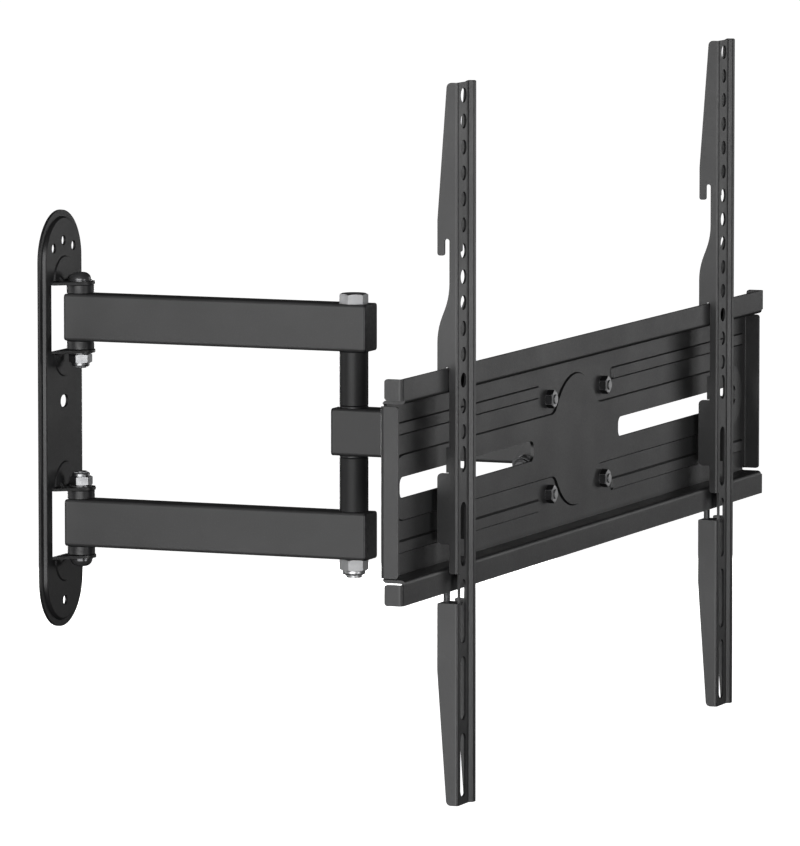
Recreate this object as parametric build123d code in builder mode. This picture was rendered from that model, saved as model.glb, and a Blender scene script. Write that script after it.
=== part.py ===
"""Full motion TV wall mount: wall plate, twin arms, forearm, swivel and tilt head, panel, TV brackets.

Frame: +Z up. The wall is the plane Y = 0 and the room is on its -Y side.
The origin is at the centre of the wall plate's back face, and the arms are straight out.
Millimetres throughout.
"""
from build123d import *
import os

os.makedirs("parts", exist_ok=True)

# ---------------------------------------------------------------- driving dimensions
# Wall plate
plate_width = 64.0
plate_height = 268.0
plate_sheet = 1.8
plate_rim = 4.0             # flat rim around the raised field
plate_raise = 2.2           # how far the field stands in front of the rim
ear_tip_r = 9.5
window_half_width = 19.4
bulge_r = 16.0              # pressed half discs above and below the ears
bulge_raise = 0.9
gusset = 4.0                # small pressed wedges that stiffen each ear's fold
gusset_width = 3.0
gusset_x = 7.0
screw_hole_d = 6.5
stud_slot = 11.5            # level slot between the arms
stud_slot_height = 8.0
top_hole_z = 110.2
top_hole_x = 15.0
centre_hole_z = 114.5
stud_slot_z = 11.4
bottom_hole_z = -117.0

# Rectangular tubes of the arms and the forearm
tube_height = 30.0
tube_width = 20.0
tube_wall = 1.8
tube_corner_r = 2.2
cap_lip = 1.5
cap_tongue = 5.0
cap_tongue_sheet = 1.6

# Pivots and reach
wall_pivot_y = -15.4
arm_level = 66.0            # the arms' centre lines stand this far above and below the middle
arm_reach = 189.1           # wall pivot to elbow
arm_rear_overhang = 7.4
elbow_overhang = 11.9       # elbow pivot to the capped ends of the arms and the forearm
forearm_reach = 117.5       # elbow to head pivot
head_overhang = 12.0
bushing_d = 17.6
bushing_height = 6.0        # room between an arm and an ear
head_bushing_height = 5.0
end_play = 0.1
running_fit = 0.08          # radial clearance of a turning fit
seat_fit = 0.05             # radial clearance of a sleeve in its tube
m8 = 8.0
m10 = 10.0
m6 = 6.0
m4 = 4.0
m8_flats = 13.0
m8_nut_height = 8.0
m8_washer_d = 15.0
m8_washer_sheet = 1.0
m8_head_d = 14.0
m8_head_height = 4.6
m10_flats = 16.0
m10_nut_height = 10.0
m10_head_height = 6.4
sleeve_d = 11.4
elbow_sleeve_d = 14.0
elbow_spacer_d = 14.0
post_d = 18.3
elbow_washer_sheet = 1.2

# Swivel head and tilt plate
head_sheet = 2.5
head_gap = 16.5             # head pivot to the back of the head's web
head_ear_half_width = 15.0
head_ear_tail = 12.0        # how far the ears run on behind the head pivot
head_half_width = 25.5
tilt_axis_ahead = 10.0      # tilt axis in front of the head pivot
tilt_drop = 14.0            # tilt axis below the forearm's centre line
tilt_ear_r = 8.0
tilt_play = 0.8             # room between the head's ears and the tilt plate's ears
tilt_head_d = 11.0
tilt_head_height = 3.0
tilt_plate_half_width = 57.0
tilt_plate_half_height = 38.0
tilt_window_half_height = 24.0

# Panel
panel_width = 632.2
panel_height = 134.2
panel_rise = 1.3            # the panel's centre above the forearm's centre line
panel_sheet = 2.0
panel_depth = 14.4          # front of the lips to the back of the web
lip_height = 15.0
lip_to_wall = 366.1         # front of the lips from the wall
flange_setback = 2.9        # front edge of the end flanges behind the lips
flange_gap = 1.3            # slit between an end flange and the shelves
lip_tab_depth = 11.6
lip_tab_start = 2.5         # the tabs on the lips' ends stand off the shelves
relief_d = 3.0
disc_r = 41.8
band_half_height = 20.0
band_half_length = 306.0
band_neck_r = 10.0
band_raise = 1.1            # the disc and the band stand in front of the web by this
slot_inner_x = 73.7
slot_outer_x = 292.7
slot_height = 12.7
slot_corner_r = 4.5
rib_inner_x = 63.5
rib_outer_x = 308.0
rib_low = 31.0              # inner edge of a rib from the panel's middle
rib_height = 8.2
rib_raise = 1.2
bolt_pattern_x = 94.0
bolt_pattern_z = 59.0
spacer_height = 1.5
m6_flats = 10.0
m6_nut_height = 4.8
m6_head_height = 4.0
m6_end = 1.0                # bolt ends showing past their nuts

# TV brackets
bracket_sheet = 1.4
bracket_bend = 0.9          # radius of the bends, at the middle of the sheet
bracket_width = 29.6
bracket_ahead = 6.0         # front face of the brackets in front of the panel's lips
hole_x = 9.1                # hole column from the outer side of the left side plate
ridge_start = 18.0          # foot of the ridge that stiffens the front face
ridge_slope = 2.2           # width of each of its flanks
ridge_crest = 3.4
ridge_raise = 2.3
bracket_top = 238.5
bracket_bottom = -194.5
leg_depth = 5.5             # depth of the side plate between its hooks
wing_depth = 13.2           # depth of the hooks and wings
plate_start = 1.9           # the side plates run on from the bends at this depth
hook_slot = 8.4             # far side of the slots that take the panel's lip
left_bracket_x = -243.5
right_bracket_x = 210.7
hole_pitch = 15.45
bracket_hole_d = 9.0
first_hole_z = 230.8
hole_count = 14
short_slot_z = 13.6
short_slot = 15.6
long_slot = 38.7
long_slot_pitch = 46.4
long_slot_z = -31.5
cut_top = -54.7             # gap in the side plate beside the panel's lower lip
cut_bottom = -72.7
lock_tab_width = 14.0
lock_screw_x = 8.5
lock_screw_depth = 10.4
lock_screw_tip = -55.6
lock_head_d = 7.6
lock_head_height = 2.9
lock_tab_sheet = 2.0

# ---------------------------------------------------------------- worked-out places
field_y = -(plate_sheet + plate_raise)
elbow_y = wall_pivot_y - arm_reach
head_y = elbow_y - forearm_reach
tilt_y = head_y - tilt_axis_ahead
head_back = head_y - head_gap
head_front = head_back - head_sheet
half_tube = tube_height / 2
ear_low = half_tube + bushing_height
head_ear_low = half_tube + head_bushing_height
head_ear_high = head_ear_low + head_sheet
lip_front = -lip_to_wall
web_back = lip_front + panel_depth
web_front = web_back - panel_sheet
web_middle = web_back - panel_sheet / 2
tilt_front = web_back + spacer_height
tilt_back = tilt_front + head_sheet
panel_top = panel_rise + panel_height / 2
panel_bottom = panel_rise - panel_height / 2
shelf_top_z = panel_top - lip_height
shelf_bottom_z = panel_bottom + lip_height
face_y = lip_front - bracket_ahead
tilt_ear_in = head_half_width + tilt_play
tilt_ear_out = tilt_ear_in + head_sheet
tube_rear = wall_pivot_y + arm_rear_overhang - cap_lip
tube_front = elbow_y - elbow_overhang + cap_lip
forearm_rear = elbow_y + elbow_overhang - cap_lip
forearm_front = head_y - head_overhang + cap_lip
levels = (arm_level, -arm_level)


def up_at(x, y, z):
    """A place whose local Z points up."""
    return Plane(origin=(x, y, z), x_dir=(1, 0, 0), z_dir=(0, 0, 1))


def down_at(x, y, z):
    """A place whose local Z points down."""
    return Plane(origin=(x, y, z), x_dir=(1, 0, 0), z_dir=(0, 0, -1))


def facing(x, y, z, direction):
    """A place whose local Z points along the given direction."""
    return Plane(origin=(x, y, z), z_dir=direction)


def room_at(y):
    """A plane parallel to the wall that faces the room: local x is X and local y is Z."""
    return Plane.XZ.offset(-y)


def back_at(y):
    """A plane parallel to the wall that faces the wall: local x is X and local y is -Z."""
    return Plane(origin=(0, y, 0), x_dir=(1, 0, 0), z_dir=(0, 1, 0))


def ring(outer_d, inner_d, height, edge=0.3):
    """A washer, bushing, sleeve or post standing on the origin, with its outer edges broken."""
    with BuildPart() as tube:
        with BuildSketch(Plane.XY):
            Circle(outer_d / 2)
        extrude(amount=height)
        chamfer(tube.edges().filter_by(GeomType.CIRCLE), edge)
        with BuildSketch(Plane.XY):
            Circle(inner_d / 2)
        extrude(amount=height, mode=Mode.SUBTRACT)
    return tube.part


def hex_nut(flats, height, bore_d, collar=0.0):
    """A hexagon nut standing on the origin, with a round locking collar where it has one."""
    corner = flats / 3**0.5
    bevel = (corner - flats / 2) * 0.6
    body = height - collar
    with BuildPart() as nut:
        with BuildSketch(Plane.XY):
            RegularPolygon(radius=flats / 2, side_count=6, major_radius=False)
        extrude(amount=body)
        with BuildSketch(Plane.XZ):
            Polygon(
                (0, 0),
                (flats / 2 - 0.3, 0),
                (corner, bevel),
                (corner, body - bevel),
                (flats / 2 - 0.3, body),
                (0, body),
                align=None,
            )
        revolve(axis=Axis.Z, mode=Mode.INTERSECT)
        if collar:
            with BuildSketch(Plane.XY.offset(body)):
                Circle(flats / 2 - 0.7)
            extrude(amount=collar)
            fillet(nut.faces().sort_by(Axis.Z)[-1].edges(), collar * 0.45)
        with BuildSketch(Plane.XY):
            Circle(bore_d / 2)
        extrude(amount=height, mode=Mode.SUBTRACT)
    return nut.part


def round_bolt(thread_d, head_d, head_height, length, socket):
    """A round head bolt: the head stands on the origin and the shank goes down from it."""
    with BuildPart() as bolt:
        with BuildSketch(Plane.XZ):
            with BuildLine():
                Polyline(
                    (head_d * 0.24, head_height),
                    (0, head_height),
                    (0, 0),
                    (head_d / 2, 0),
                    (head_d / 2, head_height * 0.2),
                )
                ThreePointArc(
                    (head_d / 2, head_height * 0.2),
                    (head_d * 0.4, head_height * 0.74),
                    (head_d * 0.24, head_height),
                )
            make_face()
        revolve(axis=Axis.Z)
        with BuildSketch(Plane.XY):
            Circle(thread_d / 2)
        extrude(amount=-length)
        chamfer(bolt.faces().sort_by(Axis.Z)[0].edges(), thread_d * 0.1)
        with BuildSketch(Plane.XY.offset(head_height)):
            RegularPolygon(radius=socket / 2, side_count=6, major_radius=False)
        extrude(amount=-head_height * 0.6, mode=Mode.SUBTRACT)
    return bolt.part


def hex_bolt(thread_d, flats, head_height, length):
    """A hexagon head bolt: the head stands on the origin and the shank goes down from it."""
    corner = flats / 3**0.5
    bevel = (corner - flats / 2) * 0.7
    with BuildPart() as bolt:
        with BuildSketch(Plane.XY):
            RegularPolygon(radius=flats / 2, side_count=6, major_radius=False)
        extrude(amount=head_height)
        with BuildSketch(Plane.XZ):
            Polygon(
                (0, 0),
                (corner, 0),
                (corner, head_height - bevel),
                (flats / 2 - 0.3, head_height),
                (0, head_height),
                align=None,
            )
        revolve(axis=Axis.Z, mode=Mode.INTERSECT)
        with BuildSketch(Plane.XY):
            Circle(thread_d / 2)
        extrude(amount=-length)
        chamfer(bolt.faces().sort_by(Axis.Z)[0].edges(), thread_d * 0.1)
    return bolt.part


def copies(piece, places):
    """Separate copies of one piece, one at each place."""
    with BuildPart() as group:
        with Locations(*places):
            add(piece)
    return group.part


def save(piece, name):
    """Name a piece and write it to its own STEP file."""
    piece.label = name
    export_step(piece, f"parts/{name}.step")


# ---------------------------------------------------------------- wall plate
bend_r = plate_sheet + 0.8
with BuildPart() as wall_ear:
    with BuildSketch(Plane.YZ):
        with BuildLine():
            FilletPolyline(
                (field_y + plate_sheet / 2, ear_low + 5),
                (field_y + plate_sheet / 2, ear_low + plate_sheet / 2),
                (wall_pivot_y - ear_tip_r, ear_low + plate_sheet / 2),
                radius=bend_r - plate_sheet / 2,
            )
        trace(line_width=plate_sheet)
    extrude(amount=window_half_width, both=True)
    with BuildSketch(Plane.XY.offset(ear_low)):
        with Locations((0, wall_pivot_y)):
            Circle(ear_tip_r)
        with Locations((0, field_y + 1)):
            Rectangle(2 * window_half_width, 6)
        make_hull()
        with Locations((0, wall_pivot_y)):
            Circle(m8 / 2 + running_fit, mode=Mode.SUBTRACT)
    extrude(amount=2 * plate_sheet, mode=Mode.INTERSECT)
    for gusset_side in (-gusset_x, gusset_x):
        with BuildSketch(Plane.YZ.offset(gusset_side)):
            Polygon(
                (field_y + 1, ear_low + plate_sheet - 0.5),
                (field_y - gusset, ear_low + plate_sheet - 0.5),
                (field_y - gusset, ear_low + plate_sheet),
                (field_y, ear_low + plate_sheet + gusset),
                (field_y + 1, ear_low + plate_sheet + gusset),
                align=None,
            )
        extrude(amount=gusset_width / 2, both=True)

bulge_base = ear_low + plate_sheet
with BuildPart() as wall_plate:
    with BuildSketch(room_at(0)):
        SlotOverall(plate_height, plate_width, rotation=90)
    extrude(amount=plate_sheet)
    with BuildSketch(room_at(-plate_sheet)):
        SlotOverall(plate_height - 2 * plate_rim, plate_width - 2 * plate_rim, rotation=90)
    extrude(amount=plate_raise, taper=25)
    fillet(wall_plate.faces().sort_by(Axis.Y)[0].edges(), 1.0)
    with BuildSketch(room_at(0)):
        SlotOverall(plate_height - 2 * plate_rim - 3, plate_width - 2 * plate_rim - 3, rotation=90)
    extrude(amount=plate_raise, taper=25, mode=Mode.SUBTRACT)
    for level in levels:
        for side in (1, -1):
            for start, way in ((field_y, Mode.ADD), (field_y + plate_sheet, Mode.SUBTRACT)):
                with BuildSketch(room_at(start)):
                    with Locations((0, level + side * bulge_base)):
                        Circle(bulge_r)
                    with Locations((0, level + side * (bulge_base - bulge_r))):
                        Rectangle(3 * bulge_r, 2 * bulge_r, mode=Mode.SUBTRACT)
                extrude(amount=bulge_raise, taper=40, mode=way)
    with BuildSketch(room_at(0)):
        with Locations((0, arm_level), (0, -arm_level)):
            Rectangle(2 * window_half_width, 2 * (ear_low + plate_sheet + 1))
    extrude(amount=3 * plate_sheet, mode=Mode.SUBTRACT)
    with Locations((0, 0, arm_level), (0, 0, -arm_level)):
        add(wall_ear.part)
        add(mirror(wall_ear.part, about=Plane.XY, mode=Mode.PRIVATE))
    with BuildSketch(room_at(0)):
        with Locations((-top_hole_x, top_hole_z), (top_hole_x, top_hole_z)):
            Circle(screw_hole_d / 2)
        with Locations((0, centre_hole_z), (0, bottom_hole_z)):
            Circle(screw_hole_d / 2)
        with Locations((0, stud_slot_z)):
            SlotOverall(stud_slot, stud_slot_height)
    extrude(amount=3 * plate_sheet, mode=Mode.SUBTRACT)
save(wall_plate.part, "wall_plate")

# ---------------------------------------------------------------- wall pivots
ear_high = ear_low + plate_sheet
pivot_grip = 2 * (ear_high + m8_washer_sheet)
pivot_bolt = round_bolt(m8, m8_head_d, m8_head_height, pivot_grip + m8_nut_height + 1, m8 * 0.62)
save(
    copies(
        pivot_bolt,
        (
            up_at(0, wall_pivot_y, arm_level + ear_high + m8_washer_sheet),
            down_at(0, wall_pivot_y, -arm_level - ear_high - m8_washer_sheet),
        ),
    ),
    "wall_pivot_bolts",
)
m8_nut = hex_nut(m8_flats, m8_nut_height, m8, collar=2.2)
save(
    copies(
        m8_nut,
        (
            down_at(0, wall_pivot_y, arm_level - ear_high - m8_washer_sheet),
            up_at(0, wall_pivot_y, -arm_level + ear_high + m8_washer_sheet),
        ),
    ),
    "wall_pivot_nuts",
)
m8_washer = ring(m8_washer_d, m8 + 0.4, m8_washer_sheet, 0.2)
save(
    copies(
        m8_washer,
        [up_at(0, wall_pivot_y, level + ear_high) for level in levels]
        + [down_at(0, wall_pivot_y, level - ear_high) for level in levels],
    ),
    "wall_pivot_washers",
)
wall_bushing = ring(bushing_d, m8 + 2 * running_fit, bushing_height - end_play, 0.5)
save(
    copies(
        wall_bushing,
        [up_at(0, wall_pivot_y, level + half_tube) for level in levels]
        + [down_at(0, wall_pivot_y, level - half_tube) for level in levels],
    ),
    "wall_pivot_bushings",
)
wall_sleeve = ring(sleeve_d, m8 + 2 * running_fit, tube_height)
save(
    copies(wall_sleeve, [up_at(0, wall_pivot_y, level - half_tube) for level in levels]),
    "wall_pivot_sleeves",
)


# ---------------------------------------------------------------- tubes and their caps
def square_tube(rear_y, front_y, level, holes):
    """A rectangular tube along Y with upright holes, each given as (y, diameter)."""
    with BuildPart() as tube:
        with BuildSketch(room_at(rear_y)):
            with Locations((0, level)):
                RectangleRounded(tube_width, tube_height, tube_corner_r)
                RectangleRounded(
                    tube_width - 2 * tube_wall,
                    tube_height - 2 * tube_wall,
                    tube_corner_r - tube_wall + 0.4,
                    mode=Mode.SUBTRACT,
                )
        extrude(amount=rear_y - front_y)
        for hole_y, diameter in holes:
            with BuildSketch(Plane.XY.offset(level)):
                with Locations((0, hole_y)):
                    Circle(diameter / 2)
            extrude(amount=tube_height, both=True, mode=Mode.SUBTRACT)
    return tube.part


def end_cap():
    """A moulded cap that closes a tube's end: its lip stands on the origin and two tongues go down."""
    tongue_x = tube_width / 2 - tube_wall - 0.1 - cap_tongue_sheet / 2
    with BuildPart() as cap:
        with BuildSketch(Plane.XY):
            RectangleRounded(tube_width, tube_height, tube_corner_r)
        extrude(amount=cap_lip)
        fillet(cap.faces().sort_by(Axis.Z)[-1].edges(), 0.9)
        with BuildSketch(Plane.XY):
            with Locations((-tongue_x, 0), (tongue_x, 0)):
                Rectangle(cap_tongue_sheet, tube_height * 0.6)
        extrude(amount=-cap_tongue)
    return cap.part


def end_place(y, z, direction):
    """Where a cap sits on a tube's end: local X stays along X."""
    return Plane(origin=(0, y, z), x_dir=(1, 0, 0), z_dir=(0, direction, 0))


arm_holes = (
    (wall_pivot_y, sleeve_d + 2 * seat_fit),
    (elbow_y, elbow_spacer_d + 2 * seat_fit),
)
save(square_tube(tube_rear, tube_front, arm_level, arm_holes), "upper_arm")
save(square_tube(tube_rear, tube_front, -arm_level, arm_holes), "lower_arm")
save(
    copies(
        end_cap(),
        [end_place(tube_rear, level, 1) for level in levels]
        + [end_place(tube_front, level, -1) for level in levels],
    ),
    "arm_end_caps",
)
forearm_holes = (
    (elbow_y, elbow_sleeve_d + 2 * seat_fit),
    (head_y, sleeve_d + 2 * seat_fit),
)
save(square_tube(forearm_rear, forearm_front, 0, forearm_holes), "forearm")
save(
    copies(end_cap(), (end_place(forearm_rear, 0, 1), end_place(forearm_front, 0, -1))),
    "forearm_end_caps",
)

# ---------------------------------------------------------------- elbow
post_start = half_tube + elbow_washer_sheet + end_play
arm_inner = arm_level - half_tube
arm_outer = arm_level + half_tube
post = ring(post_d, m10 + 0.4, arm_inner - post_start, 0.6)
save(copies(post, (up_at(0, elbow_y, post_start), down_at(0, elbow_y, -post_start))), "elbow_posts")
spacer = ring(elbow_spacer_d, m10 + 0.4, tube_height)
save(copies(spacer, [up_at(0, elbow_y, level - half_tube) for level in levels]), "elbow_spacers")
elbow_length = 2 * arm_outer + m10_nut_height + 2
elbow_bolt = hex_bolt(m10, m10_flats, m10_head_height, elbow_length)
save(copies(elbow_bolt, (up_at(0, elbow_y, arm_outer),)), "elbow_bolt")
m10_nut = hex_nut(m10_flats, m10_nut_height, m10, collar=2.6)
save(copies(m10_nut, (down_at(0, elbow_y, -arm_outer),)), "elbow_nut")
nylon_washer = ring(post_d, m10 + 2 * running_fit, elbow_washer_sheet, 0.2)
save(
    copies(nylon_washer, (up_at(0, elbow_y, half_tube), down_at(0, elbow_y, -half_tube))),
    "elbow_bushings",
)
elbow_sleeve = ring(elbow_sleeve_d, m10 + 2 * running_fit, tube_height)
save(copies(elbow_sleeve, (up_at(0, elbow_y, -half_tube),)), "elbow_sleeve")

# ---------------------------------------------------------------- head pivot
head_bushing = ring(bushing_d, m8 + 2 * running_fit, head_bushing_height - end_play, 0.5)
save(
    copies(head_bushing, (up_at(0, head_y, half_tube), down_at(0, head_y, -half_tube))),
    "head_bushings",
)
head_sleeve = ring(sleeve_d, m8 + 2 * running_fit, tube_height)
save(copies(head_sleeve, (up_at(0, head_y, -half_tube),)), "head_sleeve")
head_grip = 2 * (head_ear_high + m8_washer_sheet)
head_bolt = round_bolt(m8, m8_head_d, m8_head_height, head_grip + m8_nut_height + 1, m8 * 0.62)
save(copies(head_bolt, (up_at(0, head_y, head_ear_high + m8_washer_sheet),)), "head_bolt")
save(copies(m8_nut, (down_at(0, head_y, -head_ear_high - m8_washer_sheet),)), "head_nut")
save(
    copies(m8_washer, (up_at(0, head_y, head_ear_high), down_at(0, head_y, -head_ear_high))),
    "head_washers",
)

# ---------------------------------------------------------------- swivel head
sheet_middle = head_sheet / 2
with BuildPart() as swivel_head:
    with BuildSketch(Plane.YZ):
        with BuildLine():
            FilletPolyline(
                (head_y + head_ear_tail, head_ear_high - sheet_middle),
                (head_front + sheet_middle, head_ear_high - sheet_middle),
                (head_front + sheet_middle, -head_ear_high + sheet_middle),
                (head_y + head_ear_tail, -head_ear_high + sheet_middle),
                radius=sheet_middle + 1,
            )
        trace(line_width=head_sheet)
    extrude(amount=head_ear_half_width, both=True)
    tails = swivel_head.edges().filter_by(Axis.Z).group_by(Axis.Y)[-1]
    fillet(tails, 5)
    with BuildSketch(Plane.XY.offset(-tilt_drop - tilt_ear_r - 4)):
        with BuildLine():
            FilletPolyline(
                (head_half_width - sheet_middle, tilt_y + tilt_ear_r),
                (head_half_width - sheet_middle, head_front + sheet_middle),
                (-head_half_width + sheet_middle, head_front + sheet_middle),
                (-head_half_width + sheet_middle, tilt_y + tilt_ear_r),
                radius=sheet_middle + 1,
            )
        trace(line_width=head_sheet)
    extrude(amount=2 * tilt_ear_r + 8)
    for side in (-1, 1):
        with BuildSketch(Plane.YZ.offset(side * (head_half_width - sheet_middle))):
            with Locations((tilt_y + 10, -tilt_drop)):
                Rectangle(20, 2 * tilt_ear_r + 12)
            with Locations((tilt_y, -tilt_drop)):
                Circle(tilt_ear_r, mode=Mode.SUBTRACT)
        extrude(amount=sheet_middle + 0.5, both=True, mode=Mode.SUBTRACT)
    with BuildSketch(Plane.XY):
        with Locations((0, head_y)):
            Circle(m8 / 2 + running_fit)
    extrude(amount=head_ear_high + 1, both=True, mode=Mode.SUBTRACT)
    with BuildSketch(Plane.YZ):
        with Locations((tilt_y, -tilt_drop)):
            Circle(m8 / 2 + seat_fit)
    extrude(amount=head_half_width + 1, both=True, mode=Mode.SUBTRACT)
save(swivel_head.part, "swivel_head")

# ---------------------------------------------------------------- tilt pivot and tilt plate
tilt_length = tilt_ear_out + m8_washer_sheet + m8_nut_height + 1 - (head_half_width - head_sheet)
tilt_bolt = round_bolt(m8, tilt_head_d, tilt_head_height, tilt_length, m8 * 0.55)
bolt_seat = head_half_width - head_sheet
save(
    copies(
        tilt_bolt,
        (
            facing(bolt_seat, tilt_y, -tilt_drop, (-1, 0, 0)),
            facing(-bolt_seat, tilt_y, -tilt_drop, (1, 0, 0)),
        ),
    ),
    "tilt_bolts",
)
save(
    copies(
        m8_washer,
        (
            facing(tilt_ear_out, tilt_y, -tilt_drop, (1, 0, 0)),
            facing(-tilt_ear_out, tilt_y, -tilt_drop, (-1, 0, 0)),
        ),
    ),
    "tilt_washers",
)
nut_seat = tilt_ear_out + m8_washer_sheet
save(
    copies(
        m8_nut,
        (
            facing(nut_seat, tilt_y, -tilt_drop, (1, 0, 0)),
            facing(-nut_seat, tilt_y, -tilt_drop, (-1, 0, 0)),
        ),
    ),
    "tilt_nuts",
)

with BuildPart() as tilt_ear:
    with BuildSketch(Plane.XY.offset(-tilt_window_half_height)):
        with BuildLine():
            FilletPolyline(
                (tilt_ear_out + 6, tilt_front + sheet_middle),
                (tilt_ear_in + sheet_middle, tilt_front + sheet_middle),
                (tilt_ear_in + sheet_middle, tilt_y + tilt_ear_r + 1),
                radius=sheet_middle + 1,
            )
        trace(line_width=head_sheet)
    extrude(amount=2 * tilt_window_half_height)
    with BuildSketch(Plane.YZ):
        with Locations((tilt_y, -tilt_drop)):
            Circle(tilt_ear_r + 1)
        with Locations((tilt_front + 1, 0)):
            Rectangle(8, 2 * tilt_window_half_height - 6)
        make_hull()
    extrude(amount=2 * tilt_ear_out, mode=Mode.INTERSECT)
    with BuildSketch(Plane.YZ):
        with Locations((tilt_y, -tilt_drop)):
            Circle(m8 / 2 + running_fit)
    extrude(amount=2 * tilt_ear_out, mode=Mode.SUBTRACT)

with BuildPart() as tilt_plate:
    with BuildSketch(room_at(tilt_back)):
        with Locations((0, panel_rise)):
            RectangleRounded(2 * tilt_plate_half_width, 2 * tilt_plate_half_height, 6)
        RectangleRounded(
            2 * (tilt_ear_in + 4), 2 * tilt_window_half_height - 6, 1.5, mode=Mode.SUBTRACT
        )
        with Locations((0, panel_rise)):
            with GridLocations(bolt_pattern_x, bolt_pattern_z, 2, 2):
                Circle(m6 / 2 + 0.2, mode=Mode.SUBTRACT)
    extrude(amount=head_sheet)
    add(tilt_ear.part)
    add(mirror(tilt_ear.part, about=Plane.YZ, mode=Mode.PRIVATE))
save(tilt_plate.part, "tilt_plate")

# ---------------------------------------------------------------- panel bolts
panel_grip = head_sheet + spacer_height + panel_sheet
panel_bolt = hex_bolt(m6, m6_flats, m6_head_height, panel_grip + m6_nut_height + m6_end)
corners = [
    (side_x * bolt_pattern_x / 2, panel_rise + side_z * bolt_pattern_z / 2)
    for side_x in (-1, 1)
    for side_z in (-1, 1)
]
save(copies(panel_bolt, [facing(x, tilt_back, z, (0, 1, 0)) for x, z in corners]), "panel_bolts")
m6_nut = hex_nut(m6_flats, m6_nut_height, m6)
save(copies(m6_nut, [facing(x, web_front, z, (0, -1, 0)) for x, z in corners]), "panel_nuts")
panel_spacer = ring(14, m6 + 0.4, spacer_height, 0.2)
save(copies(panel_spacer, [facing(x, web_back, z, (0, 1, 0)) for x, z in corners]), "panel_spacers")

# ---------------------------------------------------------------- panel
half_width = panel_width / 2
half_sheet = panel_sheet / 2
fold_r = half_sheet + 0.5
web_end = half_width - 4

with BuildPart() as rib:
    with BuildSketch(Plane.YZ.offset(rib_inner_x)):
        Polygon(
            (web_front, rib_low),
            (web_front - rib_raise, rib_low + 1.2),
            (web_front - rib_raise, rib_low + rib_height - 0.8),
            (web_front, rib_low + rib_height),
            align=None,
        )
    extrude(amount=rib_outer_x - rib_inner_x)
    with BuildSketch(room_at(web_front)):
        with Locations(((rib_inner_x + rib_outer_x) / 2, rib_low + rib_height / 2)):
            RectangleRounded(rib_outer_x - rib_inner_x, rib_height + 2, 3)
    extrude(amount=rib_raise, taper=45, mode=Mode.INTERSECT)
right_ribs = [rib.part, mirror(rib.part, about=Plane.XY)]
ribs = [
    Pos(0, 0, panel_rise) * piece
    for piece in right_ribs + [mirror(right, about=Plane.YZ) for right in right_ribs]
]

with BuildPart() as tv_panel:
    with BuildSketch(Plane.YZ):
        with BuildLine():
            FilletPolyline(
                (lip_front + half_sheet, panel_top),
                (lip_front + half_sheet, shelf_top_z + half_sheet),
                (web_middle, shelf_top_z + half_sheet),
                (web_middle, shelf_bottom_z - half_sheet),
                (lip_front + half_sheet, shelf_bottom_z - half_sheet),
                (lip_front + half_sheet, panel_bottom),
                radius=fold_r,
            )
        trace(line_width=panel_sheet)
    extrude(amount=web_end, both=True)
    for side in (-1, 1):
        # End flange, folded forward from the web
        with BuildSketch(Plane.XY.offset(shelf_bottom_z + flange_gap)):
            with BuildLine():
                FilletPolyline(
                    (side * (web_end - 1), web_middle),
                    (side * (half_width - half_sheet), web_middle),
                    (side * (half_width - half_sheet), lip_front + flange_setback),
                    radius=fold_r,
                )
            trace(line_width=panel_sheet)
        extrude(amount=shelf_top_z - shelf_bottom_z - 2 * flange_gap)
        # Tabs folded back from the ends of both lips
        for low in (shelf_top_z + lip_tab_start, panel_bottom):
            with BuildSketch(Plane.XY.offset(low)):
                with BuildLine():
                    FilletPolyline(
                        (side * (web_end - 1), lip_front + half_sheet),
                        (side * (half_width - half_sheet), lip_front + half_sheet),
                        (side * (half_width - half_sheet), lip_front + lip_tab_depth),
                        radius=fold_r,
                    )
                trace(line_width=panel_sheet)
            extrude(amount=lip_height - lip_tab_start)
    # Rounded corners of the end flanges and of the lips' tabs
    end_corners = tv_panel.edges().filter_by(Axis.X).filter_by(
        lambda e: abs(e.length - panel_sheet) < 0.01 and abs(e.center().X) > half_width - panel_sheet
    )
    fillet(end_corners, 1.8)
    # Raised ribs, hollow behind
    add(ribs)
    add([Pos(0, panel_sheet, 0) * piece for piece in ribs], mode=Mode.SUBTRACT)
    # The disc and the band are pressed forward, hollow behind
    for start, way in ((web_front, Mode.ADD), (web_back, Mode.SUBTRACT)):
        with BuildSketch(room_at(start)):
            with Locations((0, panel_rise)):
                SlotOverall(2 * band_half_length, 2 * band_half_height)
                Circle(disc_r)
            necks = vertices().filter_by(lambda v: abs(v.X) < disc_r)
            fillet(necks, band_neck_r)
        extrude(amount=band_raise, taper=38, mode=way)
    with BuildSketch(room_at(web_back + 1)):
        for side in (-1, 1):
            with Locations((side * (slot_inner_x + slot_outer_x) / 2, panel_rise)):
                RectangleRounded(slot_outer_x - slot_inner_x, slot_height, slot_corner_r)
            for relief_z in (shelf_top_z - relief_d / 2, shelf_bottom_z + relief_d / 2):
                with Locations((side * (web_end - 0.5), relief_z)):
                    Circle(relief_d / 2)
        with Locations((0, panel_rise)):
            with GridLocations(bolt_pattern_x, bolt_pattern_z, 2, 2):
                Circle(m6 / 2 + 0.2)
    extrude(amount=panel_sheet + band_raise + 2, mode=Mode.SUBTRACT)
save(tv_panel.part, "tv_panel")


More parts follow.
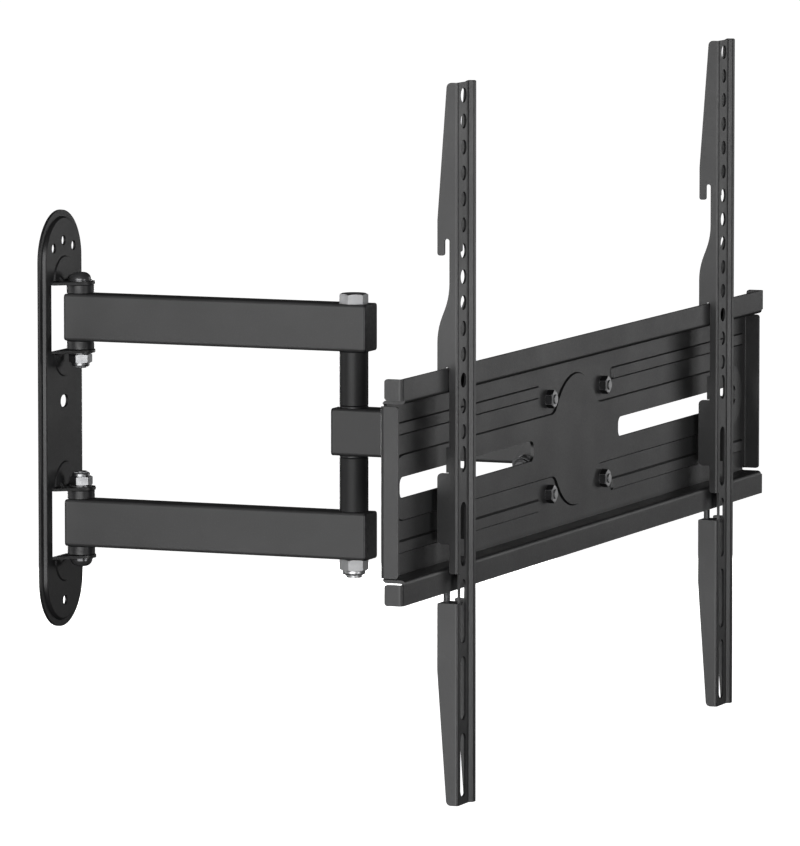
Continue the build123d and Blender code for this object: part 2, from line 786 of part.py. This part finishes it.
# ---------------------------------------------------------------- TV brackets
# Each corner of a side plate's edge: depth behind the bracket's face, height, corner radius.
hook_corners = (
    (plate_start, bracket_top, 0),
    (7.2, bracket_top, 3),
    (wing_depth, 156.7, 8),
    (wing_depth, 135.6, 1.5),
    (hook_slot + 0.2, 135.6, 1.5),
    (hook_slot + 0.2, 145.6, 1.4),
    (leg_depth, 145.6, 1.4),
    (leg_depth, 111.0, 42),
    (wing_depth, 91.5, 42),
    (wing_depth, 56.3, 1.5),
    (hook_slot, 56.3, 1.0),
    (hook_slot, panel_top + 0.6, 1.4),
    (leg_depth, panel_top + 0.6, 1.4),
    (leg_depth, 5.6, 1.0),
    (wing_depth, 5.6, 3),
    (wing_depth, -37.0, 3),
    (leg_depth, -37.0, 1.0),
    (leg_depth, cut_top, 1.5),
    (plate_start, cut_top, 0),
)
tail_corners = (
    (plate_start, cut_bottom, 0),
    (wing_depth, cut_bottom, 1.0),
    (wing_depth, -112.9, 8),
    (7.3, bracket_bottom, 3),
    (plate_start, bracket_bottom, 0),
)


def side_plate(corners):
    """A stretch of a side plate, from its edge corners."""
    points = [(face_y + depth, height) for depth, height, _ in corners]
    radii = [radius for _, _, radius in corners]
    with BuildPart() as plate:
        with BuildSketch(Plane.YZ):
            with BuildLine():
                FilletPolyline(*points, radius=radii, close=True)
            make_face()
        extrude(amount=bracket_sheet)
    return plate.part


sheet_y = face_y + bracket_sheet / 2
crest_y = sheet_y - ridge_raise
ridge_end = ridge_start + 2 * ridge_slope + ridge_crest
with BuildPart() as face_strip:
    with BuildSketch(Plane.XY.offset(bracket_bottom)):
        with BuildLine():
            FilletPolyline(
                (bracket_sheet / 2, face_y + plate_start + 0.1),
                (bracket_sheet / 2, sheet_y),
                (ridge_start, sheet_y),
                (ridge_start + ridge_slope, crest_y),
                (ridge_end - ridge_slope, crest_y),
                (ridge_end, sheet_y),
                (bracket_width - bracket_sheet / 2, sheet_y),
                (bracket_width - bracket_sheet / 2, face_y + plate_start + 0.1),
                radius=bracket_bend,
            )
        trace(line_width=bracket_sheet)
    extrude(amount=bracket_top - bracket_bottom)
    # Both folds are cut away beside the panel's lower lip
    with BuildSketch(room_at(face_y + plate_start + 1)):
        with Locations((bracket_width / 2, (cut_top + cut_bottom) / 2)):
            with GridLocations(bracket_width - 2, 1, 2, 1):
                Rectangle(4, cut_top - cut_bottom)
    extrude(amount=plate_start + 3, mode=Mode.SUBTRACT)
    with BuildSketch(room_at(face_y + bracket_sheet + 1)):
        with Locations((hole_x, first_hole_z - hole_pitch * (hole_count - 1) / 2)):
            with GridLocations(hole_pitch, hole_pitch, 1, hole_count):
                Circle(bracket_hole_d / 2)
        with Locations((hole_x, short_slot_z)):
            SlotOverall(short_slot, bracket_hole_d, rotation=90)
        for index in range(4):
            with Locations((hole_x, long_slot_z - index * long_slot_pitch)):
                SlotOverall(long_slot, bracket_hole_d, rotation=90)
    extrude(amount=bracket_sheet + 2, mode=Mode.SUBTRACT)

with BuildPart() as tv_bracket:
    add(face_strip.part)
    with Locations((0, 0, 0), (bracket_width - bracket_sheet, 0, 0)):
        add(side_plate(hook_corners))
        add(side_plate(tail_corners))
    # Tab for the lock screw, folded inward
    with BuildSketch(Plane.XY.offset(cut_bottom - lock_tab_sheet)):
        with BuildLine():
            FilletPolyline(
                (0, face_y + plate_start),
                (lock_tab_width, face_y + plate_start),
                (lock_tab_width, face_y + wing_depth),
                (0, face_y + wing_depth),
                radius=(0, 2, 2, 0),
                close=True,
            )
        make_face()
        with Locations((lock_screw_x, face_y + lock_screw_depth)):
            Circle(m4 / 2 + running_fit, mode=Mode.SUBTRACT)
    extrude(amount=lock_tab_sheet)
    # Guide tab above the lower wing, folded inward
    with BuildSketch(Plane.XY.offset(6)):
        with Locations((4, face_y + leg_depth + 1)):
            Rectangle(8, 2)
    extrude(amount=15)

save(Pos(left_bracket_x, 0, 0) * tv_bracket.part, "left_tv_bracket")
save(Pos(right_bracket_x, 0, 0) * tv_bracket.part, "right_tv_bracket")

screw_seat = cut_bottom - lock_tab_sheet
lock_screw = round_bolt(m4, lock_head_d, lock_head_height, lock_screw_tip - screw_seat, 2.5)
for name, bracket_x in (("left", left_bracket_x), ("right", right_bracket_x)):
    place = down_at(bracket_x + lock_screw_x, face_y + lock_screw_depth, screw_seat)
    save(copies(lock_screw, (place,)), f"{name}_lock_screw")
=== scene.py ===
"""Full motion TV wall mount in a plain studio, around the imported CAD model. Metres, +Z up, wall at Y = 0."""
import math
import bmesh
import bpy
from mathutils import Matrix, Vector


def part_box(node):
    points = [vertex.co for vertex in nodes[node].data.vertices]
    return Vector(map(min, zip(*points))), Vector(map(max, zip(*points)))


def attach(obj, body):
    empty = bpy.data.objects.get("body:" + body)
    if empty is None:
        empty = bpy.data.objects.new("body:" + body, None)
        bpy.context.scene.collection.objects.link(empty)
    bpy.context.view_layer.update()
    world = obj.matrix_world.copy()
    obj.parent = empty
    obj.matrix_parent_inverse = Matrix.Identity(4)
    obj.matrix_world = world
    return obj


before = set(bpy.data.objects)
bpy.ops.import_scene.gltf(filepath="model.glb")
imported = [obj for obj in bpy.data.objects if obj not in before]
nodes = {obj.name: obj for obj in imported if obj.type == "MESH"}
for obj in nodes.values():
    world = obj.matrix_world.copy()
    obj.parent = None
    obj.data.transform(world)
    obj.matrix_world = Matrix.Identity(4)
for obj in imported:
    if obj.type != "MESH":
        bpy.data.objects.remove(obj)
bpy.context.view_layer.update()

scene = bpy.context.scene

# ------------------------------------------------------------------ look
# Plate paint: its own black, darkened further as painted shade for the wall plate set back from the front
# light; the swivel head and tilt plate share it
PLATE_BLACK_AND_SHADE = (0.015, 0.015, 0.0155)
POST_BLACK = (0.015, 0.015, 0.0155)
ARM_GREY = (0.048, 0.048, 0.0485)
# Forearm paint: a darker copy of the arm paint, painted shade
FOREARM_GREY_SHADED = (0.036, 0.036, 0.0365)
PANEL_GREY = (0.022, 0.022, 0.0225)
PLASTIC_BLACK = (0.012, 0.012, 0.013)
ZINC = (0.32, 0.322, 0.328)
DULL_ZINC = (0.50, 0.502, 0.508)
TURNED_STEEL = (0.42, 0.42, 0.43)
ZINC_CLOUD = (0.28, 0.283, 0.29)
DULL_ZINC_CLOUD = (0.43, 0.433, 0.44)
TURNED_CLOUD = (0.36, 0.36, 0.38)
BLACK_OXIDE = (0.095, 0.095, 0.098)
NUT_OXIDE = (0.022, 0.022, 0.023)
LOCK_OXIDE = (0.060, 0.060, 0.062)
# Lighter colour for fastener faces square to Y: a painted highlight
LIT_END_FACE = (0.34, 0.34, 0.345)
NYLON_GREY = (0.42, 0.43, 0.44)
SMOOTH_PEEL = 1500
FINE_PEEL = 1900

# Width of the lighter line along an edge, partly wear and partly a painted highlight
PAINT_EDGE = 0.0007
PLASTIC_EDGE = 0.0005
PLATED_EDGE = 0.0004
OXIDE_EDGE = 0.0004
NUT_EDGE = 0.0005

# Depth of the surface grain
PEEL_DEPTH = 0.00006
SPARK_DEPTH = 0.00003
FINE_DEPTH = 0.00002

# Masks start at one value and end at the next: the largest squared part of the normal, its Y part,
# and how far rounding an edge would turn it
SLOPING, FLAT = 0.70, 0.97
OFF_Y, ALONG_Y = 0.80, 0.95
EDGE, NO_EDGE = 0.86, 0.995

# ------------------------------------------------------------------ camera
CAMERA_AZIMUTH = math.radians(-67.85)
CAMERA_ELEVATION = math.radians(6.11)
CAMERA_PLACE = Vector((-4.65996, -2.13280, 0.54499))
CAMERA_LENS = 342.1
SENSOR = 36.0
CAMERA_REACH = 200

FLOOR_LEVEL = -0.42
SMOOTH_ANGLE = math.radians(32)


# ------------------------------------------------------------------ shader helpers
class Shader:
    """A material and short ways to add and join its nodes."""

    def __init__(self, name):
        self.material = bpy.data.materials.new(name)
        self.material.use_nodes = True
        self.tree = self.material.node_tree
        self.surface = self.tree.nodes["Principled BSDF"]
        self.place = self.add("ShaderNodeTexCoord").outputs["Object"]

    def add(self, kind, **settings):
        node = self.tree.nodes.new(kind)
        for key, value in settings.items():
            setattr(node, key, value)
        return node

    def link(self, source, target):
        self.tree.links.new(source, target)

    def stretched(self, scale):
        """Object coordinates, stretched by a scale for each axis."""
        mapping = self.add("ShaderNodeMapping")
        mapping.inputs["Scale"].default_value = scale
        self.link(self.place, mapping.inputs["Vector"])
        return mapping.outputs["Vector"]

    def noise(self, scale, detail=2.0, roughness=0.5, vector=None):
        node = self.add("ShaderNodeTexNoise")
        node.inputs["Scale"].default_value = scale
        node.inputs["Detail"].default_value = detail
        node.inputs["Roughness"].default_value = roughness
        self.link(vector or self.place, node.inputs["Vector"])
        return node.outputs["Fac"]

    def cells(self, scale, feature="F1"):
        node = self.add("ShaderNodeTexVoronoi", feature=feature)
        node.inputs["Scale"].default_value = scale
        self.link(self.place, node.inputs["Vector"])
        return node.outputs["Distance"]

    def spread(self, value, low, high, start=0.3, end=0.7):
        """Maps start..end of a value to low..high."""
        node = self.add("ShaderNodeMapRange")
        node.inputs["From Min"].default_value = start
        node.inputs["From Max"].default_value = end
        node.inputs["To Min"].default_value = low
        node.inputs["To Max"].default_value = high
        self.link(value, node.inputs["Value"])
        return node.outputs["Result"]

    def maths(self, operation, first, second):
        node = self.add("ShaderNodeMath", operation=operation)
        for socket, value in zip(node.inputs, (first, second)):
            if isinstance(value, (int, float)):
                socket.default_value = value
            else:
                self.link(value, socket)
        return node.outputs["Value"]

    def blend(self, amount, first, second):
        """Mixes two colours, each an (r, g, b) or a socket."""
        node = self.add("ShaderNodeMix", data_type="RGBA")
        self.link(amount, node.inputs[0])
        for socket, value in ((node.inputs[6], first), (node.inputs[7], second)):
            if isinstance(value, tuple):
                socket.default_value = (*value, 1)
            else:
                self.link(value, socket)
        return node.outputs[2]

    def step_shade_mask(self):
        """Mask for painted shade on pressed steps: 1 on sloping faces and 0 on faces square to an axis, by the
        piece's own normal.
        """
        own = self.add("ShaderNodeTexCoord").outputs["Normal"]
        axes = self.add("ShaderNodeSeparateXYZ")
        self.link(own, axes.inputs[0])
        squares = [self.maths("POWER", self.maths("ABSOLUTE", axes.outputs[i], 0.0), 2.0) for i in range(3)]
        largest = self.maths("MAXIMUM", self.maths("MAXIMUM", squares[0], squares[1]), squares[2])
        return self.spread(largest, 1.0, 0.0, SLOPING, FLAT)

    def faces_along_y(self):
        """Mask for a painted highlight: 1 on faces square to Y and 0 on all others, by the piece's own normal.
        """
        own = self.add("ShaderNodeTexCoord").outputs["Normal"]
        axes = self.add("ShaderNodeSeparateXYZ")
        self.link(own, axes.inputs[0])
        return self.spread(self.maths("ABSOLUTE", axes.outputs[1], 0.0), 0.0, 1.0, OFF_Y, ALONG_Y)

    def edges(self, width):
        """1 along sharp edges and 0 on flat faces, fading over a width in metres."""
        rounded = self.add("ShaderNodeBevel", samples=4)
        rounded.inputs["Radius"].default_value = width
        plain = self.add("ShaderNodeNewGeometry")
        dot = self.add("ShaderNodeVectorMath", operation="DOT_PRODUCT")
        self.link(rounded.outputs["Normal"], dot.inputs[0])
        self.link(plain.outputs["Normal"], dot.inputs[1])
        return self.spread(dot.outputs["Value"], 1.0, 0.0, EDGE, NO_EDGE)

    def bump(self, height, distance, strength=1.0, below=None):
        node = self.add("ShaderNodeBump")
        node.inputs["Distance"].default_value = distance
        node.inputs["Strength"].default_value = strength
        self.link(height, node.inputs["Height"])
        if below:
            self.link(below, node.inputs["Normal"])
        return node.outputs["Normal"]

    def finish(self, color, roughness, normal=None):
        self.link(color, self.surface.inputs["Base Color"])
        self.link(roughness, self.surface.inputs["Roughness"])
        if normal:
            self.link(normal, self.surface.inputs["Normal"])
        return self.material


def shade(color, factor):
    return tuple(channel * factor for channel in color)


# ------------------------------------------------------------------ materials
def powder_coat(name, color, gloss, grain, steps=False, shine=0.5):
    """Baked powder paint: a fine orange peel, faint mottling and lighter, glossier edges, partly worn paint
    and partly a painted highlight.

    With steps, the sloping faces of pressed steps get painted shade, a much darker paint. Shine is the
    strength of the gloss.
    """
    s = Shader(name)
    mottle = s.noise(26, 4)
    dust = s.noise(900, 2)
    edge = s.maths("MULTIPLY", s.edges(PAINT_EDGE), s.spread(s.noise(160, 3), 0.2, 1.0))
    paint = s.blend(s.spread(mottle, 0, 1), shade(color, 0.86), shade(color, 1.14))
    paint = s.blend(s.spread(dust, 0.0, 0.35, 0.55, 0.8), paint, shade(color, 1.7))
    # Lighter edges: partly worn paint and partly a painted highlight
    paint = s.blend(s.maths("MULTIPLY", edge, 0.5), paint, shade(color, 2.4))
    if steps:
        # Painted shade: sloping faces of the pressed steps darkened to 0.12 of the paint colour
        paint = s.blend(s.step_shade_mask(), paint, shade(color, 0.12))
    rough = s.maths("ADD", s.spread(mottle, gloss - 0.04, gloss + 0.05), s.spread(dust, -0.03, 0.04))
    rough = s.maths("SUBTRACT", rough, s.maths("MULTIPLY", edge, 0.08))
    peel = s.bump(s.noise(grain, 3, 0.55), PEEL_DEPTH, 0.55)
    fine = s.bump(s.cells(grain * 1.8), FINE_DEPTH, 0.4, peel)
    s.surface.inputs["Specular IOR Level"].default_value = shine
    return s.finish(paint, rough, fine)


def moulded_plastic(name, color, gloss):
    """Injection moulded nylon or polyethylene with a spark-eroded grain."""
    s = Shader(name)
    tone = s.noise(60, 3)
    edge = s.edges(PLASTIC_EDGE)
    paint = s.blend(s.spread(tone, 0, 1), shade(color, 0.85), shade(color, 1.2))
    # Lighter edges: partly wear and partly a painted highlight
    paint = s.blend(s.maths("MULTIPLY", edge, 0.35), paint, shade(color, 2.2))
    rough = s.spread(s.noise(420, 2), gloss - 0.06, gloss + 0.08)
    grain = s.bump(s.noise(2600, 2), SPARK_DEPTH, 0.5)
    return s.finish(paint, rough, grain)


def plated_steel(name, color, gloss, tint):
    """Zinc plate: bright metal with cloudy passivation and fine tool marks."""
    s = Shader(name)
    cloud = s.noise(140, 4, 0.6)
    marks = s.noise(1200, 2, 0.5, s.stretched((1.0, 1.0, 6.0)))
    edge = s.edges(PLATED_EDGE)
    metal = s.blend(s.spread(cloud, 0, 1), color, tint)
    # Brighter edges: partly worn plating and partly a painted highlight
    metal = s.blend(s.maths("MULTIPLY", edge, 0.4), metal, shade(color, 1.25))
    rough = s.maths("ADD", s.spread(cloud, gloss - 0.05, gloss + 0.07), s.spread(marks, -0.03, 0.05))
    s.surface.inputs["Metallic"].default_value = 1.0
    return s.finish(metal, rough, s.bump(marks, FINE_DEPTH, 0.5))


def oxide_steel(name, color, gloss, edge_wear_and_highlight=0.16, edge_width=OXIDE_EDGE, lit_end_face=None):
    """Blackened fasteners: a dark oxide film, oily in places, lighter at the edges, partly worn to steel and
    partly a painted highlight.

    With an end face colour, the faces square to Y take it as a painted highlight and the sides stay black.
    """
    s = Shader(name)
    film = s.noise(220, 4, 0.6)
    edge = s.maths("MULTIPLY", s.edges(edge_width), s.spread(s.noise(500, 2), 0.1, 1.0))
    metal = s.blend(s.spread(film, 0, 1), shade(color, 0.8), shade(color, 1.35))
    if lit_end_face:
        # Painted highlight: faces square to Y take the lighter end face colour
        metal = s.blend(s.faces_along_y(), metal, lit_end_face)
    # Lighter edges: partly worn to steel and partly a painted highlight
    metal = s.blend(s.maths("MULTIPLY", edge, 0.55 + edge_wear_and_highlight), metal, (edge_wear_and_highlight, edge_wear_and_highlight, edge_wear_and_highlight * 1.03))
    rough = s.spread(film, gloss - 0.07, gloss + 0.08)
    s.surface.inputs["Metallic"].default_value = 0.55
    return s.finish(metal, rough, s.bump(s.noise(1800, 2), FINE_DEPTH, 0.4))


plate_paint = powder_coat("plate_powder_coat", PLATE_BLACK_AND_SHADE, 0.36, SMOOTH_PEEL)
arm_paint = powder_coat("arm_powder_coat", ARM_GREY, 0.42, SMOOTH_PEEL)
post_paint = powder_coat("post_powder_coat", POST_BLACK, 0.50, SMOOTH_PEEL, shine=0.35)
forearm_paint = powder_coat("forearm_powder_coat", FOREARM_GREY_SHADED, 0.42, SMOOTH_PEEL)
panel_paint = powder_coat("panel_powder_coat", PANEL_GREY, 0.40, FINE_PEEL, steps=True)
bracket_paint = powder_coat("bracket_powder_coat", PANEL_GREY, 0.36, FINE_PEEL)
bushing_plastic = moulded_plastic("bushing_nylon", PLASTIC_BLACK, 0.42)
cap_plastic = moulded_plastic("cap_polyethylene", PLASTIC_BLACK, 0.46)
black_screw = oxide_steel("black_oxide", BLACK_OXIDE, 0.20)
bright_zinc = plated_steel("bright_zinc", ZINC, 0.32, ZINC_CLOUD)
dull_zinc = plated_steel("dull_zinc", DULL_ZINC, 0.38, DULL_ZINC_CLOUD)
worn_and_highlit_screw = oxide_steel("worn_oxide_painted_highlight", NUT_OXIDE, 0.34, edge_wear_and_highlight=0.40, edge_width=NUT_EDGE, lit_end_face=LIT_END_FACE)
lock_steel = oxide_steel("lock_screw_oxide", LOCK_OXIDE, 0.34)
turned_steel = plated_steel("turned_steel", TURNED_STEEL, 0.30, TURNED_CLOUD)

FINISH = {
    "wall_plate": plate_paint,
    "wall_pivot_bolts": black_screw,
    "wall_pivot_nuts": bright_zinc,
    "wall_pivot_washers": black_screw,
    "wall_pivot_bushings": bushing_plastic,
    "wall_pivot_sleeves": turned_steel,
    "upper_arm": arm_paint,
    "lower_arm": arm_paint,
    "arm_end_caps": cap_plastic,
    "elbow_posts": post_paint,
    "elbow_spacers": turned_steel,
    "elbow_bolt": dull_zinc,
    "elbow_nut": dull_zinc,
    "elbow_bushings": bushing_plastic,
    "elbow_sleeve": turned_steel,
    "forearm": forearm_paint,
    "forearm_end_caps": cap_plastic,
    "head_bushings": bushing_plastic,
    "head_sleeve": turned_steel,
    "head_bolt": black_screw,
    "head_nut": bright_zinc,
    "head_washers": black_screw,
    "swivel_head": plate_paint,
    "tilt_bolts": lock_steel,
    "tilt_nuts": lock_steel,
    "tilt_washers": black_screw,
    "tilt_plate": plate_paint,
    "panel_bolts": worn_and_highlit_screw,
    "panel_nuts": worn_and_highlit_screw,
    "panel_spacers": bushing_plastic,
    "tv_panel": panel_paint,
    "left_tv_bracket": bracket_paint,
    "right_tv_bracket": bracket_paint,
    "left_lock_screw": lock_steel,
    "right_lock_screw": lock_steel,
}
for node_name, material in FINISH.items():
    mesh = nodes[node_name].data
    mesh.materials.clear()
    mesh.materials.append(material)
    mesh.polygons.foreach_set("material_index", [0] * len(mesh.polygons))
    mesh.shade_smooth()
    mesh.set_sharp_from_angle(angle=SMOOTH_ANGLE)


# ------------------------------------------------------------------ screw threads and nylon inserts
THREAD_STEPS = 36
ROWS_PER_TURN = 8
THREAD_DEPTH = 0.00022
LOCK_THREAD_DEPTH = 0.00006
M4, M6, M8, M10 = 0.004, 0.006, 0.008, 0.010
PITCH = {M4: 0.0007, M6: 0.0010, M8: 0.00125, M10: 0.0015}
LOCK_HEAD_AND_TAB = 0.00495
LOCK_TIP = 0.0004
NUT_LENGTH = 0.008
PIVOT_BOLT_END = 0.0009
BOLT_TIP = 0.0001
SPACER_RADIUS = 0.007
INSERT_GAP = 0.0001
INSERT_OUTER = 0.0009
INSERT_SUNK = 0.0006
INSERT_PROUD = 0.0003
INSERT_CHAMFER = 0.0002


def new_piece(name, mesh, body, material):
    """Adds a piece that moves with a body and takes the material it is given."""
    mesh.materials.append(material)
    mesh.shade_smooth()
    mesh.set_sharp_from_angle(angle=SMOOTH_ANGLE)
    piece = bpy.data.objects.new(name, mesh)
    scene.collection.objects.link(piece)
    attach(piece, body)
    return piece


def closed_tube(bm, rings):
    """Joins rings of points into a closed tube with flat ends."""
    rows = [[bm.verts.new(point) for point in ring] for ring in rings]
    for row, above in zip(rows, rows[1:]):
        for i in range(len(row)):
            j = (i + 1) % len(row)
            bm.faces.new((row[i], row[j], above[j], above[i]))
    bm.faces.new(reversed(rows[0]))
    bm.faces.new(rows[-1])


def add_thread(bm, start, end, diameter, depth=THREAD_DEPTH):
    """A helical ridge, as proud as depth, around a screw's shank from start to end along its axis."""
    start, end = Vector(start), Vector(end)
    length = (end - start).length
    pitch = PITCH[diameter]
    turn = Vector((0, 0, 1)).rotation_difference(end - start)
    rows = max(ROWS_PER_TURN, round(length / pitch * ROWS_PER_TURN))
    rings = []
    for row in range(rows + 1):
        along = length * row / rows
        fade = min(1.0, 2 * along / pitch, 2 * (length - along) / pitch)
        ring = []
        for step in range(THREAD_STEPS):
            phase = (along / pitch - step / THREAD_STEPS) % 1.0
            ridge = (1.0 - abs(2.0 * phase - 1.0)) * fade
            radius = diameter / 2 + depth * (1.6 * ridge - 0.6)
            angle = 2 * math.pi * step / THREAD_STEPS
            ring.append(start + turn @ Vector((radius * math.cos(angle), radius * math.sin(angle), along)))
        rings.append(ring)
    closed_tube(bm, rings)


def add_insert(bm, face, direction, diameter):
    """A nylon ring that stands a little proud of a lock nut's outer face."""
    turn = Vector((0, 0, 1)).rotation_difference(Vector(direction))
    inner = diameter / 2 + INSERT_GAP
    outer = diameter / 2 + INSERT_OUTER
    outline = (
        (inner, -INSERT_SUNK),
        (outer, -INSERT_SUNK),
        (outer, INSERT_PROUD - INSERT_CHAMFER),
        (outer - INSERT_CHAMFER, INSERT_PROUD),
        (inner, INSERT_PROUD),
    )
    rows = []
    for radius, height in outline:
        ring = []
        for step in range(THREAD_STEPS):
            angle = 2 * math.pi * step / THREAD_STEPS
            point = Vector((radius * math.cos(angle), radius * math.sin(angle), height))
            ring.append(bm.verts.new(Vector(face) + turn @ point))
        rows.append(ring)
    for row, after in zip(rows, rows[1:] + rows[:1]):
        for i in range(THREAD_STEPS):
            j = (i + 1) % THREAD_STEPS
            bm.faces.new((row[i], row[j], after[j], after[i]))


def mesh_of(name, add_shape, shapes):
    """One mesh from several shapes, each given by its arguments."""
    bm = bmesh.new()
    for arguments in shapes:
        add_shape(bm, *arguments)
    bmesh.ops.recalc_face_normals(bm, faces=bm.faces)
    mesh = bpy.data.meshes.new(name)
    bm.to_mesh(mesh)
    bm.free()
    return mesh


def middle(low, high, axis):
    return (low[axis] + high[axis]) / 2


def threads_and_inserts():
    nylon = moulded_plastic("insert_nylon", NYLON_GREY, 0.45)
    for side in ("left", "right"):
        low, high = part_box(f"{side}_lock_screw")
        x, y = middle(low, high, 0), middle(low, high, 1)
        span = ((x, y, low[2] + LOCK_HEAD_AND_TAB), (x, y, high[2] - LOCK_TIP), M4, LOCK_THREAD_DEPTH)
        mesh = mesh_of(f"{side}_lock_thread", add_thread, [span])
        new_piece(f"{side}_lock_thread", mesh, f"{side}_lock", lock_steel)

    # Upright bolts: each end shows below or above its lock nut
    y = middle(*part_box("wall_pivot_bolts"), 1)
    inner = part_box("wall_pivot_nuts")[1][2] - NUT_LENGTH
    ends = [((0, y, side * inner), (0, y, side * (inner - PIVOT_BOLT_END)), M8) for side in (1, -1)]
    mesh = mesh_of("wall_pivot_threads", add_thread, ends)
    new_piece("wall_pivot_threads", mesh, "wall_base", black_screw)
    faces = [((0, y, side * inner), (0, 0, -side), M8) for side in (1, -1)]
    mesh = mesh_of("wall_pivot_inserts", add_insert, faces)
    new_piece("wall_pivot_inserts", mesh, "wall_base", nylon)
    for bolt, diameter, body, slot, material in (
        ("elbow", M10, "arms", "elbow_bolt_steel", dull_zinc),
        ("head", M8, "head", "black_fastener", black_screw),
    ):
        y = middle(*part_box(f"{bolt}_bolt"), 1)
        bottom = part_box(f"{bolt}_nut")[0][2]
        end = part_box(f"{bolt}_bolt")[0][2]
        mesh = mesh_of(f"{bolt}_thread", add_thread, [((0, y, bottom), (0, y, end + BOLT_TIP), diameter)])
        new_piece(f"{bolt}_thread", mesh, body, material)
        mesh = mesh_of(f"{bolt}_insert", add_insert, [((0, y, bottom), (0, 0, -1), diameter)])
        new_piece(f"{bolt}_insert", mesh, body, nylon)

    # Tilt bolts, along X
    low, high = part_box("tilt_bolts")
    y, z = middle(low, high, 1), middle(low, high, 2)
    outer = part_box("tilt_nuts")[1][0]
    ends = [((side * outer, y, z), (side * (high[0] - BOLT_TIP), y, z), M8) for side in (1, -1)]
    mesh = mesh_of("tilt_threads", add_thread, ends)
    new_piece("tilt_threads", mesh, "head", lock_steel)
    faces = [((side * outer, y, z), (side, 0, 0), M8) for side in (1, -1)]
    mesh = mesh_of("tilt_inserts", add_insert, faces)
    new_piece("tilt_inserts", mesh, "head", bushing_plastic)

    # Panel bolts, along -Y, in the middle of their round spacers
    low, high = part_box("panel_spacers")
    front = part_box("panel_nuts")[0][1]
    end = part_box("panel_bolts")[0][1]
    ends = [
        ((x, front, z), (x, end + BOLT_TIP, z), M6)
        for x in (low[0] + SPACER_RADIUS, high[0] - SPACER_RADIUS)
        for z in (low[2] + SPACER_RADIUS, high[2] - SPACER_RADIUS)
    ]
    mesh = mesh_of("panel_threads", add_thread, ends)
    new_piece("panel_threads", mesh, "panel", worn_and_highlit_screw)


threads_and_inserts()


# ------------------------------------------------------------------ studio
FLOOR_HALF = 40.0
FLOOR_GLOW = 1.03
WORLD_IN_REFLECTIONS = 0.02

# name, place, aim point, width, height, watts
LIGHTS = (
    ("left_softbox", (-2.6, -0.62, 0.1), (0.0, -0.62, 0.0), 2.8, 2.4, 86),
    ("front_softbox", (-0.80, -2.2, 0.1), (0.0, -0.3, 0.0), 0.9, 1.2, 16),
    ("right_fill", (1.8, -1.45, 0.3), (0.0, -0.4, 0.0), 1.0, 1.2, 5),
    ("back_fill", (-0.6, 1.9, 0.3), (0.0, -0.1, 0.0), 1.6, 1.2, 12),
    ("far_side_fill", (2.3, 1.2, -0.25), (0.0, -0.15, -0.05), 1.8, 0.28, 18),
)


def plain_floor():
    """A pale floor, bright enough to meet the white background."""
    s = Shader("pale_floor")
    s.surface.inputs["Base Color"].default_value = (0.5, 0.5, 0.5, 1)
    s.surface.inputs["Roughness"].default_value = 0.9
    s.surface.inputs["Specular IOR Level"].default_value = 0.1
    s.surface.inputs["Emission Color"].default_value = (1, 1, 1, 1)
    s.surface.inputs["Emission Strength"].default_value = FLOOR_GLOW
    mesh = bpy.data.meshes.new("floor")
    corners = [(x * FLOOR_HALF, y * FLOOR_HALF, 0) for x, y in ((-1, -1), (1, -1), (1, 1), (-1, 1))]
    mesh.from_pydata(corners, [], [(0, 1, 2, 3)])
    mesh.materials.append(s.material)
    floor = bpy.data.objects.new("floor", mesh)
    floor.location.z = FLOOR_LEVEL
    floor.visible_diffuse = False
    floor.visible_glossy = False
    scene.collection.objects.link(floor)


def softbox(name, place, aim, width, height, power):
    """A rectangular soft light at a place, turned to face an aim point."""
    light = bpy.data.lights.new(name, "AREA")
    light.shape = "RECTANGLE"
    light.size = width
    light.size_y = height
    light.energy = power
    lamp = bpy.data.objects.new(name, light)
    lamp.location = place
    lamp.rotation_euler = (Vector(aim) - Vector(place)).to_track_quat("-Z", "Y").to_euler()
    lamp.visible_camera = False
    scene.collection.objects.link(lamp)


def white_surround():
    """White behind the object for the camera, and dim in the object's reflections."""
    world = bpy.data.worlds.new("studio")
    world.use_nodes = True
    tree = world.node_tree
    backdrop = tree.nodes["Background"]
    backdrop.inputs["Color"].default_value = (1, 1, 1, 1)
    backdrop.inputs["Strength"].default_value = 1.0
    dim = tree.nodes.new("ShaderNodeBackground")
    dim.inputs["Color"].default_value = (1, 1, 1, 1)
    dim.inputs["Strength"].default_value = WORLD_IN_REFLECTIONS
    path = tree.nodes.new("ShaderNodeLightPath")
    mix = tree.nodes.new("ShaderNodeMixShader")
    tree.links.new(path.outputs["Is Camera Ray"], mix.inputs["Fac"])
    tree.links.new(dim.outputs["Background"], mix.inputs[1])
    tree.links.new(backdrop.outputs["Background"], mix.inputs[2])
    tree.links.new(mix.outputs["Shader"], tree.nodes["World Output"].inputs["Surface"])
    scene.world = world


def photo_camera():
    """The camera, in front and to the left of the object and a little above it."""
    azimuth, elevation = CAMERA_AZIMUTH, CAMERA_ELEVATION
    back = Vector((
        math.sin(azimuth) * math.cos(elevation),
        -math.cos(azimuth) * math.cos(elevation),
        math.sin(elevation),
    ))
    right = Vector((math.cos(azimuth), math.sin(azimuth), 0))
    up = back.cross(right)
    data = bpy.data.cameras.new("photo_camera")
    data.sensor_width = SENSOR
    data.lens = CAMERA_LENS
    data.clip_end = CAMERA_REACH
    camera = bpy.data.objects.new("photo_camera", data)
    turned = Matrix((right, up, back)).transposed().to_4x4()
    camera.matrix_world = Matrix.Translation(CAMERA_PLACE) @ turned
    scene.collection.objects.link(camera)
    scene.camera = camera


plain_floor()
white_surround()
for light_name, place, aim, width, height, power in LIGHTS:
    softbox(light_name, place, aim, width, height, power)
photo_camera()
scene.view_settings.view_transform = "Standard"
scene.view_settings.look = "None"
